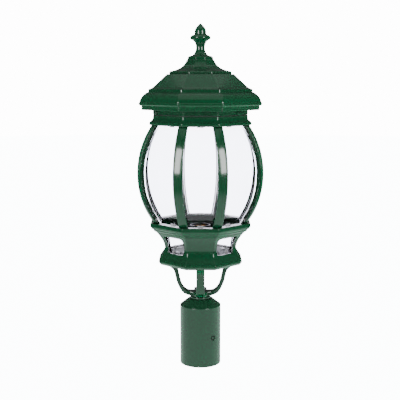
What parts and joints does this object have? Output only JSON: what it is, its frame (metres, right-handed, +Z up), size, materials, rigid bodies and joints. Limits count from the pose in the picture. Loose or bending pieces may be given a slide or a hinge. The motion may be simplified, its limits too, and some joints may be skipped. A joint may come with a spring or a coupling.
{
  "type": "post-top lantern",
  "caption": "Eight-sided post-top lantern: socket for a round post, curved arms, bowed ribs and panes, lampholder and a lift-off roof with a finial.",
  "frame": {"origin": "centre of the socket's bottom rim, on the post's axis", "axes": "+Z up along the post's axis; the front, a narrow side of the octagon, faces -Y; +X is to the right seen from the front"},
  "size_m": [0.2174, 0.2174, 0.5972],
  "materials": {
    "green_coat": "cast aluminium with gloss dark green powder coat",
    "clear_glass": "clear, bent to shape",
    "zinc_steel": "zinc plated",
    "clear_nylon": "natural nylon, moulded",
    "black_steel": "blackened alloy steel",
    "tray_grey": "grey stoved sheet steel",
    "black_rubber": "matt",
    "black_phenolic": "moulded phenolic",
    "porcelain": "unglazed white",
    "brass": "plain"
  },
  "bodies": {
    "lantern": {"arm_yoke": "green_coat", "cable_grommet": "black_rubber", "gear_tray": "tray_grey", "lampholder_base": "black_phenolic", "lampholder_block": "porcelain", "lampholder_contact": "brass", "lampholder_shell": "black_phenolic", "lampholder_thread": "brass", "lower_cage": "green_coat", "lower_pane_1": "clear_glass", "lower_pane_2": "clear_glass", "lower_pane_3": "clear_glass", "lower_pane_4": "clear_glass", "lower_pane_clips": "clear_nylon", "narrow_pane_1": "clear_glass", "narrow_pane_2": "clear_glass", "narrow_pane_3": "clear_glass", "narrow_pane_4": "clear_glass", "neck_ring": "green_coat", "pane_clips": "clear_nylon", "post_socket": "green_coat", "rib_1": "green_coat", "rib_2": "green_coat", "rib_3": "green_coat", "rib_4": "green_coat", "rib_5": "green_coat", "rib_6": "green_coat", "rib_7": "green_coat", "rib_8": "green_coat", "rib_screws": "zinc_steel", "roof_gasket": "black_rubber", "stem": "zinc_steel", "stem_nuts": "zinc_steel", "stem_washer": "zinc_steel", "terminal_block": "black_phenolic", "terminal_screws": "brass", "top_collar": "green_coat", "tray_pillars": "zinc_steel", "tray_screws": "zinc_steel", "waist_ring": "green_coat", "waist_screws": "zinc_steel", "wide_pane_1": "clear_glass", "wide_pane_2": "clear_glass", "wide_pane_3": "clear_glass", "wide_pane_4": "clear_glass", "yoke_screws": "zinc_steel"},
    "roof": {"roof": "green_coat", "roof_cap": "green_coat", "finial": "green_coat", "finial_stud": "zinc_steel", "finial_washer": "zinc_steel", "finial_nut": "zinc_steel"},
    "roof_screw_1": {"roof_screw_1": "green_coat"},
    "clamp_screw_1": {"clamp_screw_1": "black_steel"},
    "roof_screw_2": {"roof_screw_2": "green_coat"},
    "clamp_screw_2": {"clamp_screw_2": "black_steel"},
    "roof_screw_3": {"roof_screw_3": "green_coat"},
    "clamp_screw_3": {"clamp_screw_3": "black_steel"}
  },
  "joints": [
    {"name": "roof_lift", "type": "slide", "parent": "lantern", "child": "roof", "axis": [0, 0, 1], "range_m": [0, 0.15]},
    {"name": "roof_screw_1_travel", "type": "slide", "parent": "roof", "child": "roof_screw_1", "axis": [0.7071, -0.7071, 0], "range_m": [0, 0.006]},
    {"name": "roof_screw_2_travel", "type": "slide", "parent": "roof", "child": "roof_screw_2", "axis": [0, 1, 0], "range_m": [0, 0.006]},
    {"name": "roof_screw_3_travel", "type": "slide", "parent": "roof", "child": "roof_screw_3", "axis": [-0.7071, -0.7071, 0], "range_m": [0, 0.006]},
    {"name": "clamp_screw_1_travel", "type": "slide", "parent": "lantern", "child": "clamp_screw_1", "axis": [-0.6225, 0.7826, 0], "range_m": [0, 0.0012]},
    {"name": "clamp_screw_2_travel", "type": "slide", "parent": "lantern", "child": "clamp_screw_2", "axis": [-0.3665, -0.9304, 0], "range_m": [0, 0.0012]},
    {"name": "clamp_screw_3_travel", "type": "slide", "parent": "lantern", "child": "clamp_screw_3", "axis": [0.989, 0.1478, 0], "range_m": [0, 0.0012]}
  ]
}
